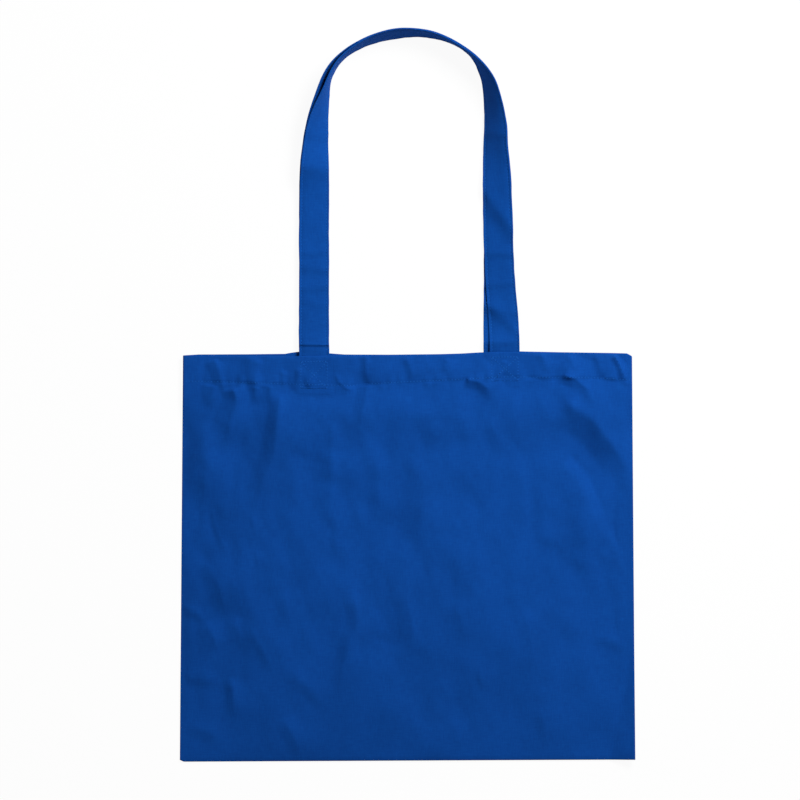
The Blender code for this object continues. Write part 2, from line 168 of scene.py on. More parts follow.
# Creases of the front wall, placed by where the picture shows their crests. Each has in
# millimetres its height, the width of its steep side at both ends and the length of its
# gentle side, then the percentage of its length where it is full, then its crest's points.
# A crease with a negative height is a valley.
CREASES = (
    (4.4, 12, 20, 18, 8, (233, 384), (237, 398), (233, 412), (230, 428), (225, 452)),
    (1.2, 17, 12, 7, 5, (214, 384), (213, 394), (206, 406)),
    (0.9, 6, 5, 5, 5, (257, 384), (256, 394), (252, 404)),
    (2.3, 13, 5, 10, 10, (214, 355), (219, 368), (222, 380), (227, 396)),
    (2.1, 12.5, 5, 10, 12, (259, 355), (256, 370), (255, 384), (254, 402)),
    (0.7, 3, 2.5, 4, 10, (271, 383), (270, 390), (268, 401)),
    (0.6, 4, 3, 4, 20, (280, 391), (279, 402)),
    (1.5, 5, 4, 4, 20, (284, 366), (283, 376), (284, 388)),
    (1.4, 4, 4, 5, 20, (299, 363), (298, 378), (295, 390)),
    (3.1, 10.5, 14, 26, 10, (281, 387), (280, 402), (277, 425), (275, 450), (266, 476), (258, 497),
     (247, 540)),
    (0.9, 16, 16, 12, 30, (272, 440), (264, 470), (254, 500)),
    (0.6, 1.8, 1.5, 6, 20, (251, 516), (253, 524), (256, 535)),
    (0.7, 2.6, 2.6, 8, 20, (211, 507), (215, 528), (221, 543), (230, 555)),
    (0.6, 3, 2.2, 8, 20, (331, 423), (332, 438), (331, 455)),
    (1, 14, 12, 16, 30, (333, 450), (334, 470), (333, 486)),
    (0.8, 10, 8, 14, 30, (357, 504), (359, 520), (356, 532)),
    (0.6, 4.5, 4.5, 10, 30, (336, 538), (335, 556)),
    (0.9, 2.2, 2.2, 3, 20, (335, 369), (339, 377), (345, 382), (353, 387)),
    (1.9, 7, 6, 7, 3, (366, 354), (366, 366), (367, 382)),
    (2.4, 10, 9, 14, 5, (367, 380), (366, 396), (362, 412), (358, 436)),
    (0.5, 3, 3, 4, 20, (381, 381), (383, 389)),
    (0.7, 5, 4, 10, 20, (426, 356), (431, 372), (429, 396)),
    (2.9, 8.5, 7.5, 10, 8, (466, 380), (480, 384), (487, 390), (493, 404)),
    (1.3, 12, 10, 14, 25, (488, 418), (499, 438), (504, 460)),
    (3, 9.5, 7, 10, 8, (562, 377), (576, 382), (586, 390), (597, 409)),
    (5, 25, 19, 18, 12, (562, 401), (592, 419), (612, 444), (632, 478)),
    (-2.2, 11, 11, 17, 10, (566, 450), (590, 478), (606, 519), (640, 560)),
    (1.2, 9, 7, 14, 25, (533, 533), (556, 542), (573, 560)),
    (0.8, 8, 6, 12, 25, (575, 549), (581, 574)),
    (3.4, 5, 5.5, 6, 10, (614, 354), (620, 366), (624, 376), (630, 392)),
    (1.7, 11, 11, 16, 30, (196, 554), (211, 571), (221, 590), (227, 622)),
    (1.6, 6, 6, 9, 10, (182, 607), (196, 613), (208, 624)),
    (2, 12, 12, 10, 15, (206, 622), (214, 636), (218, 652)),
    (1.4, 11, 11, 14, 20, (233, 618), (240, 634), (243, 652)),
    (0.9, 8, 7, 14, 20, (250, 626), (262, 648), (272, 672)),
    (1.4, 9, 8, 10, 15, (184, 676), (205, 678), (226, 682)),
    (1.7, 8, 8, 10, 10, (231, 680), (234, 696), (233, 716)),
    (1.4, 11, 9, 14, 25, (186, 724), (206, 730), (228, 742)),
    (1.3, 11, 9, 20, 20, (290, 670), (307, 686), (334, 712)),
    (1.5, 11, 10, 16, 20, (282, 716), (294, 735), (302, 762)),
    (2.1, 10.5, 9, 22, 20, (348, 584), (357, 610), (357, 630), (348, 648), (342, 668), (338, 706)),
    (0.8, 10, 10, 14, 30, (285, 588), (287, 608), (286, 628)),
    (0.6, 4, 4, 8, 30, (303, 622), (305, 636), (301, 650)),
    (0.6, 3.5, 3.5, 8, 30, (257, 550), (259, 570)),
    (1.5, 15, 13, 18, 30, (405, 590), (411, 615), (413, 634), (408, 668)),
    (1.3, 18, 16, 16, 35, (452, 598), (462, 616), (464, 646)),
    (0.7, 3.5, 3, 8, 25, (479, 668), (481, 680), (480, 691)),
    (0.6, 8, 7, 12, 30, (456, 718), (460, 752)),
    (1, 8, 7, 14, 30, (538, 704), (544, 724), (545, 748)),
    (1.3, 8, 8, 8, 15, (592, 636), (612, 641), (632, 652)),
    (1.4, 6, 5, 10, 10, (406, 356), (411, 368), (414, 382)),
    (1.1, 6, 5, 10, 15, (448, 357), (446, 366), (447, 378)),
    (1.1, 5, 5, 8, 15, (506, 362), (501, 372), (500, 384)),
    (1.6, 7, 6, 10, 10, (540, 354), (545, 364), (547, 378)),
    (1.2, 6, 5, 8, 15, (569, 356), (574, 366), (576, 376)),
    (1.2, 5, 5, 8, 15, (596, 355), (600, 368), (602, 382)),
    (1.2, 14, 14, 18, 30, (333, 500), (336, 530), (330, 570)),
    (1, 12, 12, 20, 30, (372, 450), (380, 480), (376, 530)),
    (1.3, 12, 12, 20, 30, (520, 600), (532, 640), (530, 690)),
    (0.8, 15, 15, 24, 30, (385, 690), (396, 720), (392, 752)),
    (0.5, 1.8, 1.8, 4, 30, (190, 414), (208, 415), (226, 414)),
    (0.5, 2.2, 2.2, 6, 30, (383, 413), (430, 417), (490, 420)),
    (1.7, 26, 26, 22, 35, (329, 425), (331, 480), (328, 545)),
    (0.9, 20, 20, 30, 35, (420, 430), (424, 500), (414, 580)),
    (0.8, 20, 20, 30, 35, (520, 430), (524, 520), (505, 600)),
    (0.9, 18, 18, 16, 35, (215, 440), (205, 480), (200, 520)),
)

# Lines of the front edge of the mouth, of its back edge and of the front hem's stitches:
# place across, and how far each lies above the straight, in millimetres
FRONT_EDGE = (
    (-209.5, -2.2), (-204, -1.7), (-165, -2.1), (-110, -2.7), (-87, -2.2), (-60, -1.5), (-17, -1.3),
    (30, -0.8), (50, -0.3), (67, 0.9), (105, 1.6), (142, 1), (190, 0.3), (205, 0), (209.5, -2.8),
)
BACK_EDGE = (
    (-209.5, -1.8), (-195, -0.9), (-148, -0.7), (-114, -0.3), (-109, 0.7), (-100, 1.9), (-73, 0.2),
    (-59, -0.9), (-17, -1.1), (30, -0.6), (50, 0), (67, 1), (105, 2), (142, 1.2), (190, 0.5),
    (205, 0.1), (209.5, -2.6),
)
STITCH_LINE = (
    (-209.5, -0.9), (-190, -1), (-150, -2.2), (-112, -3.5), (-87, -4.2), (-53, -5), (-30, -3.2),
    (-15, -2.1), (24, -0.4), (58, 1.2), (85, 3), (120, 2.8), (143, 2.6), (175, 2.2), (195, 1),
    (209.5, 0),
)
BASE_TILT = 0.0048

# The bottom right corner curls up from a slanting fold: its place, slant, climb and bend
CORNER_FOLD = 0.1880
CORNER_SLANT = 0.215
CORNER_CLIMB = 0.36
CORNER_BEND = 0.002

# Creases across each leg of the handles: height above the mouth, slant, depth and width,
# with the lengths in millimetres
STRAP_CREASES = {
    "left": (
        (8.2, 0.02, 1.3, 1.2), (27, -0.2, 0.69, 5.4), (48, 0.25, 0.8, 4.7), (62, -0.1, 1.03, 4.1),
        (80, 0.15, 1.15, 4.7), (95, -0.05, 0.92, 3.8), (205, 0.3, 0.8, 5.4),
    ),
    "right": (
        (12, 0.05, 2, 6), (34, -1, 1.9, 7.5), (40, -0.2, 0.8, 4.1), (65.5, 0.1, 1.15, 3.5),
        (94, -0.05, 1.15, 4.1), (136, -1.4, 3, 13), (158, 0.3, 0.92, 6.8), (206, -0.12, 1.2, 4.5),
    ),
}


# Shape of the cloth


def smoothstep(start, end, value):
    """Zero up to start, one from end on, with a soft change between."""
    share = np.clip((value - start) / (end - start), 0.0, 1.0)
    return share * share * (3 - 2 * share)


def swell(distance, reach):
    """Zero at a sewn edge, rising to one at the given distance from it."""
    left = 1 - np.clip(distance / reach, 0.0, 1.0)
    return 1 - left * left


def soft_noise(x, v, size, seed, stretch=1.0):
    """Smooth unevenness between about -1 and 1, with lumps of the given size."""
    cells = 64
    table = np.random.RandomState(seed).uniform(-1, 1, (cells, cells))
    across = np.asarray(x) / size + 17.3
    up = np.asarray(v) / (size * stretch) + 9.1
    left = np.floor(across).astype(int)
    low = np.floor(up).astype(int)
    a = smoothstep(0.0, 1.0, across - left)
    b = smoothstep(0.0, 1.0, up - low)
    near, far = [
        table[left % cells, row % cells] * (1 - a) + table[(left + 1) % cells, row % cells] * a
        for row in (low, low + 1)
    ]
    return near * (1 - b) + far * b


def half_width(v):
    """Half of the bag's outer width at height v above the bottom fold."""
    return (BASE_WIDTH + (MOUTH_WIDTH - BASE_WIDTH) * v / BODY_HEIGHT) / 2


def roll_radius(v):
    """Radius of the turned side edge, larger in the hem where three layers turn."""
    return FLAT_ROLL + (HEM_ROLL - FLAT_ROLL) * smoothstep(EASE_FROM, FLAT_FROM, v)


def side_height(v):
    """Height of the front wall's middle plane at the side edges."""
    return BACK_Z + 4 * roll_radius(v) + PITCH


def mouth_height(x):
    """Height of the front wall over the hem: level over the straps, swelling between."""
    left_inner = LEFT_LEG_X + STRAP_WIDTH
    right_inner = RIGHT_LEG_X - STRAP_WIDTH
    left_outer = LEFT_LEG_X - STRAP_WIDTH
    right_outer = RIGHT_LEG_X + FRONT_LEG_SHIFT + STRAP_WIDTH
    side = MOUTH_WIDTH / 2
    rise = smoothstep(-side, left_outer, x) * (1 - smoothstep(right_outer, side, x))
    middle = (left_inner + right_inner) / 2
    swelling = smoothstep(left_inner, middle, x) * (1 - smoothstep(middle, right_inner, x))
    return SIDE_HEM_Z + (FRONT_HEM_Z - SIDE_HEM_Z) * rise + MOUTH_LOFT * swelling


def seen(place):
    """The place on the bag, across and above the bottom fold, of a point in the picture."""
    across, down = place
    scale = VIEW_WIDTH / PICTURE
    x = CAMERA_PLACE[0] + (across - PICTURE / 2) * scale
    return x, CAMERA_PLACE[1] + (PICTURE / 2 - down) * scale - BASE_Y


def crease(x, v, height, width, end_width, tail, start, *line):
    """A fold that climbs steeply towards the light and falls off gently past its crest."""
    line = [seen(place) for place in line]
    offset = share = 0.0 * x
    nearest = offset + FAR_OFF
    lengths = [math.dist(a, b) for a, b in zip(line, line[1:])]
    passed = 0.0
    way_x = line[-1][0] - line[0][0]
    way_v = line[-1][1] - line[0][1]
    side = 1.0 if -way_v * LIGHT_SIDE[0] + way_x * LIGHT_SIDE[1] > 0 else -1.0
    for (x0, v0), (x1, v1), length in zip(line, line[1:], lengths):
        dx = (x1 - x0) / length
        dv = (v1 - v0) / length
        along = np.clip((x - x0) * dx + (v - v0) * dv, 0.0, length)
        distance = np.hypot(x - x0 - along * dx, v - v0 - along * dv)
        signed = side * ((v - v0) * dx - (x - x0) * dv)
        closer = distance < nearest
        nearest = np.where(closer, distance, nearest)
        offset = np.where(closer, signed, offset)
        share = np.where(closer, (passed + along) / sum(lengths), share)
        passed += length
    width = MM * (width + (end_width - width) * share)
    beyond = np.sqrt(np.maximum(nearest**2 - offset**2, 0.0))
    fade = smoothstep(0.0, start / 100, share) * (1 - smoothstep(0.55, 1.0, share))
    fade = fade * np.exp(-((beyond / (0.7 * width)) ** 2))
    climb = np.clip(1 + offset / width, 0.0, 1.0)
    climb = 0.75 * climb + 0.25 * climb * climb
    gentle = MM * tail * (0.3 + 0.7 * smoothstep(0.0, 0.4, share))
    fall = np.exp(-np.maximum(offset, 0.0) / gentle)
    return height * MM * climb * fall * fade


def over_strap(x):
    """One where a handle's end lies under the front hem, zero beside it."""
    left = np.abs(x - LEFT_LEG_X)
    right = np.abs(x - RIGHT_LEG_X - FRONT_LEG_SHIFT)
    return 1 - smoothstep(STRAP_WIDTH / 2, STRAP_WIDTH / 2 + 0.018, np.minimum(left, right))


# Unevenness of the front wall: height and size of the lumps in millimetres, seed, stretch
BROAD_LUMPS = ((2.7, 36, 3, 1.6),)
SMALL_LUMPS = ((1.05, 17, 5, 1.6), (0.3, 8.5, 6, 1.4))
GRAIN = ((0.05, 6, 7, 1.0),)
HEM_LUMPS = ((1.55, 13, 19, 2.0),)
ROW_PUCKERS = ((0.6, 4.8, 11, 5.0), (1.05, 11, 13, 4.0))

# How far the unevenness stays from the edges, and its strength at the bottom and above
CALM_SIDE = 0.022
CALM_BASE = 0.040
BASE_STRENGTH = 0.72
WALL_STRENGTH = 1.28

# The hem's row of stitches: its groove, the reach of its puckers and the step under it
GROOVE_DEPTH = 0.00012
GROOVE_WIDTH = 0.0013
PUCKER_REACH = 0.0075
STEP_DEPTH = 0.00042
STEP_REACH = 0.045

# The back panel's groove under its row of stitches, how far the hem dips between the
# handles, and the mouth's fold at its very edge
BACK_GROOVE = 0.00034
BACK_GROOVE_WIDTH = 0.0016
HEM_DIP = 0.0013
MOUTH_FOLD = 0.0004
MOUTH_FOLD_REACH = 0.0025


def lumps(x, v, rows):
    """Uneven height from rows of height, size, seed and stretch."""
    total = 0.0
    for height, size, seed, stretch in rows:
        total = total + height * MM * soft_noise(x, v, size * MM, seed, stretch)
    return total


def front_detail(x, v):
    """Creases, puckers and unevenness of the front wall, above its plain shape."""
    edge = half_width(v) - CLOTH / 2 - roll_radius(v) - np.abs(x)
    strength = BASE_STRENGTH + (WALL_STRENGTH - BASE_STRENGTH) * smoothstep(0.060, 0.200, v)
    calm = swell(edge, CALM_SIDE) * swell(v, CALM_BASE) * strength
    wall = 1 - smoothstep(HEM_ROW - 0.032, HEM_ROW + 0.002, v)
    total = calm * (wall * lumps(x, v, BROAD_LUMPS) + lumps(x, v, SMALL_LUMPS)) + lumps(x, v, GRAIN)
    for fold in CREASES:
        total = total + FOLD_SCALE * crease(x, v, *fold)
    from_row = v - HEM_ROW
    total = total + np.exp(-((from_row / PUCKER_REACH) ** 2)) * lumps(x, v, ROW_PUCKERS)
    uneven = 1 + 0.8 * soft_noise(x, v, 0.006, 17, 9.0)
    total = total - GROOVE_DEPTH * np.exp(-((from_row / GROOVE_WIDTH) ** 2)) * uneven
    below = smoothstep(-STEP_REACH, -0.002, from_row) * (1 - smoothstep(-0.0012, 0.0016, from_row))
    total = total - STEP_DEPTH * below * uneven
    total = total - HEM_DIP * smoothstep(HEM_ROW, BODY_HEIGHT, v) * (1 - over_strap(x))
    total = total + smoothstep(-0.003, 0.0, from_row) * lumps(x, v, HEM_LUMPS)
    total = total - MOUTH_FOLD * smoothstep(BODY_HEIGHT - MOUTH_FOLD_REACH, BODY_HEIGHT, v)
    strap = over_strap(x) * smoothstep(FLAT_FROM - 0.004, FLAT_FROM + 0.002, v)
    total = np.where(strap > 0, np.maximum(total, -0.00030 - 0.004 * (1 - strap)), total)
    return total * swell(edge, 0.010) * swell(v, 0.010)


def front_height(x, v):
    """Height of the front wall's middle plane, with all its creases."""
    side = half_width(v) - CLOTH / 2 - roll_radius(v)
    cushion = swell(side + x, LEFT_SLOPE) * swell(side - x, RIGHT_SLOPE) * swell(v, BASE_SLOPE)
    hem = smoothstep(EASE_FROM, FLAT_FROM, v)
    plain = side_height(v) + BODY_LOFT * cushion * (1 - hem) + (mouth_height(x) - SIDE_HEM_Z) * hem
    seam = smoothstep(SEAM_ALLOWANCE + 0.0025, SEAM_ALLOWANCE + 0.010, side - np.abs(x))
    resting = side_height(v) - 0.0001 - 0.0010 * seam
    return np.maximum(plain + front_detail(x, v), resting) + corner_lift(x, v)


def corner_lift(x, v):
    """How far the bottom right corner stands off the floor, with all its layers."""
    past = np.maximum(x - CORNER_FOLD - CORNER_SLANT * v, 0.0)
    return CORNER_CLIMB * past * past / (past + CORNER_BEND)


def line_shift(x, line):
    """How far a line of the cloth lies above the straight at places across it."""
    places, shifts = zip(*line)
    return MM * np.interp(x / MM, places, shifts)


def edge_shift(x, v, front=True):
    """How far the cloth lies along Y from its straight place, by the lines of its edges."""
    mouth = line_shift(x, FRONT_EDGE if front else BACK_EDGE)
    row = line_shift(x, STITCH_LINE) * smoothstep(HEM_ROW - 0.050, HEM_ROW, v) * (1.0 if front else 0.4)
    near_mouth = np.clip((v - HEM_ROW) / (BODY_HEIGHT - HEM_ROW), 0.0, 1.0)
    near_base = 1 - smoothstep(0.0, 0.120, v)
    corner = 0.0016 * smoothstep(0.2085, 0.2125, -x) * (1 - smoothstep(0.0, 0.006, v))
    return row * (1 - near_mouth) + mouth * near_mouth + BASE_TILT * x * near_base + corner


def section_columns():
    """Columns of the cloth from one raw side edge to the other: kind, side and place."""
    right = [("roll", 1, math.pi * step / ROLL_STEPS) for step in range(1, ROLL_STEPS + 1)]
    right += [("flap", 1, 0.5), ("flap", 1, 1.0)]
    left = [(kind, -1, place) for kind, side, place in reversed(right)]
    main = [("main", 1, 2 * step / MAIN_COLUMNS - 1) for step in range(MAIN_COLUMNS + 1)]
    return left + main + right


COLUMNS = section_columns()
MAIN_PLACES = np.array([place if kind == "main" else 0.0 for kind, side, place in COLUMNS])
IS_MAIN = np.array([kind == "main" for kind, side, place in COLUMNS])


def section_row(v, depth):
    """Places across and depths below the outermost layer of all columns at one height."""
    radius = float(roll_radius(v))
    centre = float(half_width(v)) - CLOTH / 2 - radius
    x = centre * MAIN_PLACES
    below = np.full(len(COLUMNS), depth)
    for index, (kind, side, place) in enumerate(COLUMNS):
        if kind == "roll":
            inner = radius - depth
            x[index] = side * (centre + inner * math.sin(place))
            below[index] = radius - inner * math.cos(place)
        elif kind == "flap":
            x[index] = side * (centre - SEAM_ALLOWANCE * place)
            below[index] = 2 * radius - depth
    return x, below


def hem_profile(steps):
    """The turned hem as height and depth, from the raw edge to the start of the wall."""
    fold_centre = BODY_HEIGHT - CLOTH / 2 - PITCH
    turned = [(HEM_LOW + HEM_TURN * (1 - step / 3), PITCH) for step in range(4)]
    inner = [(HEM_LOW + (fold_centre - HEM_LOW) * step / steps, 2 * PITCH) for step in range(steps)]
    fold = []
    for step in range(ROLL_STEPS + 1):
        angle = math.pi * step / ROLL_STEPS
        fold.append((fold_centre + PITCH * math.sin(angle), PITCH + PITCH * math.cos(angle)))
    return turned + inner + fold


def wall_heights(hem_rows, rows):
    """Heights of a wall's rows, closer together over the hem than below it."""
    top = BODY_HEIGHT - CLOTH / 2 - PITCH
    end = HEM_ROW - 0.010
    lowest = CLOTH / 2 + BASE_ROLL
    upper = [top + (end - top) * step / hem_rows for step in range(1, hem_rows)]
    return upper + [end + (lowest - end) * step / rows for step in range(rows + 1)]


def body_points():
    """Middle plane of the whole cloth, row by row from the front hem to the back hem."""
    rows = []
    for v, depth in hem_profile(8) + [(v, 0.0) for v in wall_heights(HEM_ROWS, WALL_ROWS)]:
        x, below = section_row(v, depth)
        heights = np.full(len(x), v)
        top = np.where(IS_MAIN, front_height(x, heights), side_height(v) + corner_lift(x, v))
        rows.append(np.stack([x, heights + edge_shift(x, v), top - below], axis=1))
    turn_v = CLOTH / 2 + BASE_ROLL
    x, below = section_row(turn_v, 0.0)
    for step in range(1, BASE_STEPS):
        angle = math.pi * step / BASE_STEPS
        reach = BASE_ROLL - below
        z = BACK_Z + BASE_ROLL + reach * math.cos(angle) + corner_lift(x, turn_v)
        y = turn_v - reach * math.sin(angle) + edge_shift(x, turn_v)
        rows.append(np.stack([x, y, z], axis=1))
    back = [(v, 0.0) for v in reversed(wall_heights(6, BACK_ROWS))] + hem_profile(8)[::-1]
    for v, depth in back:
        x, below = section_row(v, depth)
        heights = np.full(len(x), v)
        z = BACK_Z + below + np.where(IS_MAIN, back_relief(heights), 0.0) + corner_lift(x, v)
        rows.append(np.stack([x, heights + edge_shift(x, heights, False), z], axis=1))
    points = np.array(rows)
    points[:, :, 1] += BASE_Y
    return points


# Meshes


def select_only(item):
    """Makes one object the only selected and active one."""
    bpy.ops.object.select_all(action="DESELECT")
    item.select_set(True)
    bpy.context.view_layer.objects.active = item


def add_object(name, data):
    """A new object in the scene, around a mesh, a lamp or a camera."""
    item = bpy.data.objects.new(name, data)
    bpy.context.scene.collection.objects.link(item)
    return item


def sheet_object(name, points):
    """A sheet of cloth through rows of points, with its flat size as its UV map in metres."""
    rows, columns = points.shape[:2]
    index = np.arange(rows * columns).reshape(rows, columns)
    a, b = index[:-1, :-1], index[:-1, 1:]
    c, d = index[1:, 1:], index[1:, :-1]
    faces = np.stack([a, b, c, d], axis=-1).reshape(-1, 4)
    mesh = bpy.data.meshes.new(name)
    mesh.from_pydata(points.reshape(-1, 3).tolist(), [], faces.tolist())
    step_u = np.linalg.norm(np.diff(points, axis=1), axis=2)
    step_v = np.linalg.norm(np.diff(points, axis=0), axis=2)
    u = np.concatenate([[0.0], np.cumsum(np.median(step_u, axis=0))])
    v = np.concatenate([[0.0], np.cumsum(np.median(step_v, axis=1))])
    flat = np.stack(np.meshgrid(u, v), axis=-1).reshape(-1, 2)
    layer = mesh.uv_layers.new(name="cloth")
    layer.data.foreach_set("uv", flat[faces.reshape(-1)].astype(np.float32).reshape(-1))
    return add_object(name, mesh)


def thicken(item, thickness):
    """Gives a sheet its thickness, half on each side, and smooth shading."""
    select_only(item)
    solidify = item.modifiers.new("cloth_thickness", "SOLIDIFY")
    solidify.thickness = thickness
    solidify.offset = 0.0
    solidify.use_even_offset = True
    solidify.use_quality_normals = True
    bpy.ops.object.modifier_apply(modifier=solidify.name)
    bpy.ops.object.shade_smooth_by_angle(angle=math.radians(50))


# Handles


def curve_through(points, steps):
    """Catmull-Rom curve through rows of numbers, with the given steps in each stretch."""
    points = np.array(points, dtype=float)
    padded = np.vstack([points[:1], points, points[-1:]])
    result = []
    for index, count in enumerate(steps):
        before, start, end, after = padded[index : index + 4]
        for step in range(count):
            share = step / count
            square = share * share
            cube = square * share
            value = (2 * cube - 3 * square + 1) * start + (cube - 2 * square + share) * (end - before) / 2
            value = value + (3 * square - 2 * cube) * end + (cube - square) * (after - start) / 2
            result.append(value)
    return result


def handle_route():
    """Inside line of the handles as across, height above the mouth and lean in radians."""
    left = LEFT_LEG_X + STRAP_WIDTH / 2
    right = RIGHT_LEG_X - STRAP_WIDTH / 2
    reach = STRAP_WIDTH * math.cos(CROWN_LEAN)
    reach += (STRAP_PITCH + STRAP_THICKNESS) * math.sin(CROWN_LEAN)
    crown = HANDLE_RISE - reach + CROWN_DROP
    arch = [
        (left + (right - left) * share, crown - drop * ARCH_DEPTH, math.radians(lean))
        for share, drop, lean in ARCH
    ]
    steps = [max(1, round(math.dist(a[:2], b[:2]) / STATION_STEP)) for a, b in zip(arch, arch[1:])]
    shoulder = sum(steps[:SHOULDER_ROW])
    top = arch[0][1]
    fine = np.arange(-0.001, CREASED_END, FINE_STEP)
    count = round((top - CREASED_END) / STATION_STEP)
    leg = list(np.linspace(-STRAP_TUCK, -0.002, 12)) + list(fine)
    leg += list(np.linspace(CREASED_END, top, count, endpoint=False))
    route = [(left, height, 0.0) for height in leg]
    route += curve_through(arch, steps)
    route += [(right, height, 0.0) for height in [top] + leg[::-1]]
    return np.array(route, dtype=float), shoulder + len(leg)


def averaged(values, count):
    """Values smoothed by the average of the count around each."""
    return np.convolve(np.pad(values, count // 2, mode="edge"), np.full(count, 1 / count), mode="valid")


class Strap:
    """One of the two handles: its stations along the route, and places on its section."""

    def __init__(self, front):
        route, shoulder = handle_route()
        self.front = front
        steps = np.linalg.norm(np.diff(route[:, :2], axis=0), axis=1)
        self.travelled = np.concatenate([[0.0], np.cumsum(steps)])
        x, height, lean = route.T
        on_right = np.arange(len(x)) >= len(x) / 2
        left_rest = LEFT_REST_LEAN * smoothstep(0.002, 0.020, height)
        right_rest = RIGHT_REST_LEAN * smoothstep(0.004, 0.090, height)
        rest = np.radians(np.where(on_right, right_rest, left_rest))
        lean = averaged(np.maximum(lean, rest), 5)
        along = np.gradient(route[:, :2], axis=0)
        along = np.stack([averaged(part, 7) for part in along.T], axis=1)
        along /= np.linalg.norm(along, axis=1)[:, None]
        outward = np.stack([-along[:, 1], along[:, 0], np.zeros(len(x))], axis=1)
        up = np.array([0.0, 0.0, 1.0])
        away = (self.travelled - self.travelled[shoulder]) / SHOULDER_REACH
        laid = smoothstep(0.0, STRAP_RAMP, height)
        spread = STRAP_PITCH * (1 - laid) + (STRAP_STACK + STRAP_GAP) * laid
        fan = math.radians(SHOULDER_FAN) * np.exp(-away * away) * front
        raised = FRONT_LIFT * smoothstep(math.radians(35), math.radians(75), lean)
        raised = raised * smoothstep(-0.055, -0.020, x)
        cos = np.cos(lean + fan)[:, None]
        sin = np.sin(lean + fan)[:, None]
        self.wide = outward * cos + up * sin
        self.face = up * cos - outward * sin
        self.seat = np.stack([x, height + MOUTH_Y, STRAP_SEAT * (1 - laid)], axis=1)
        self.seat += outward * ((spread + STRAP_STACK) * np.sin(lean))[:, None]
        shift = FRONT_LEG_SHIFT * on_right * (1 - smoothstep(0.0, FRONT_SHIFT_END, height))
        self.spread = spread * front
        self.shift = (shift + raised) * front
        curled = smoothstep(0.185, 0.215, height) * (1 - smoothstep(0.255, 0.280, height))
        self.curl = CURL_DEPTH * on_right * curled
        self.length = float(self.travelled[-1])
        self.seed = 21 if front else 27

    def read(self, travel, table):
        """Values at distances along the handle, from a table with a row for each station."""
        columns = [np.interp(travel, self.travelled, column) for column in np.atleast_2d(table.T)]
        return columns[0] if table.ndim == 1 else np.stack(columns, axis=-1)

    def at(self, travel, across, thick):
        """Points at distances along the handle, places across it and in its thickness."""
        travel, across, thick = np.broadcast_arrays(travel, across, thick)
        waver = lumps(travel, 0.0 * travel, ((0.3, 30, self.seed, 1), (0.14, 9, self.seed + 1, 1)))
        lift = STRAP_EASE * (1 + soft_noise(travel, across, 0.012, 23, 2.0)) * self.free(travel)
        bend = np.maximum(across / STRAP_WIDTH - CURL_FROM, 0.0)
        lift = lift - self.read(travel, self.curl) * bend * bend
        place = across + self.read(travel, self.shift) + waver
        height = thick + self.read(travel, self.spread) + lift
        point = self.read(travel, self.seat) + self.read(travel, self.wide) * place[..., None]
        point = point + self.read(travel, self.face) * height[..., None]
        point[..., 2] += self.rise(travel, across)
        return point

    def free(self, travel):
        """One outside the bag, zero where the handle's ends lie between the hems."""
        out = np.minimum(travel, self.length - travel) - STRAP_TUCK
        return smoothstep(0.0, 0.004, out)

    def rise(self, travel, across):
        """How far the strap stands off by its folds: the hump before its turn, and creases."""
        heights = {"left": travel - STRAP_TUCK, "right": self.length - STRAP_TUCK - travel}
        ridge = HUMP_RIDGE + HUMP_SLANT * (across - STRAP_WIDTH / 2)
        past = heights["left"] - ridge
        up = np.clip(1 + past / HUMP_RISE, 0.0, 1.0)
        down = np.clip(1 - past / HUMP_FALL, 0.0, 1.0)
        down = 0.4 * smoothstep(0.0, 1.0, down) + 0.6 * down
        total = HUMP_HEIGHT * np.where(past < 0, up * up, down)
        for leg, folds in STRAP_CREASES.items():
            for place, slant, depth, width in folds:
                gap = heights[leg] - place * MM - slant * (across - STRAP_WIDTH / 2)
                gap = gap / (width * MM)
                fold = np.where(gap < 0, np.exp(-gap * gap), np.exp(-gap / 3))
                total = total + FOLD_SCALE * depth * MM * fold
        return total * self.free(travel)

    def relief(self, travel, across, layer):
        """How far a layer, 0 at the lower face and 3 at the upper, is pressed or swollen."""
        rows = (EDGE_ROW_INSET, STRAP_WIDTH - EDGE_ROW_INSET)
        groove = sum(np.exp(-(((across - row) / EDGE_GROOVE) ** 2)) for row in rows)
        inside = smoothstep(rows[0], rows[0] + 0.006, across)
        inside = inside * (1 - smoothstep(rows[1] - 0.006, rows[1], across))
        pucker = soft_noise(travel, across, 0.0032, self.seed + 3, 8.0)
        near_edge = 1 - smoothstep(0.003, 0.010, np.minimum(across, STRAP_WIDTH - across))
        press = -EDGE_PRESS * groove * (2 * layer / 3 - 1)
        swelling = PADDING * inside + EDGE_PUCKER * (1 + pucker) * near_edge * (1 - groove)
        return press + swelling * layer / 3 * self.front


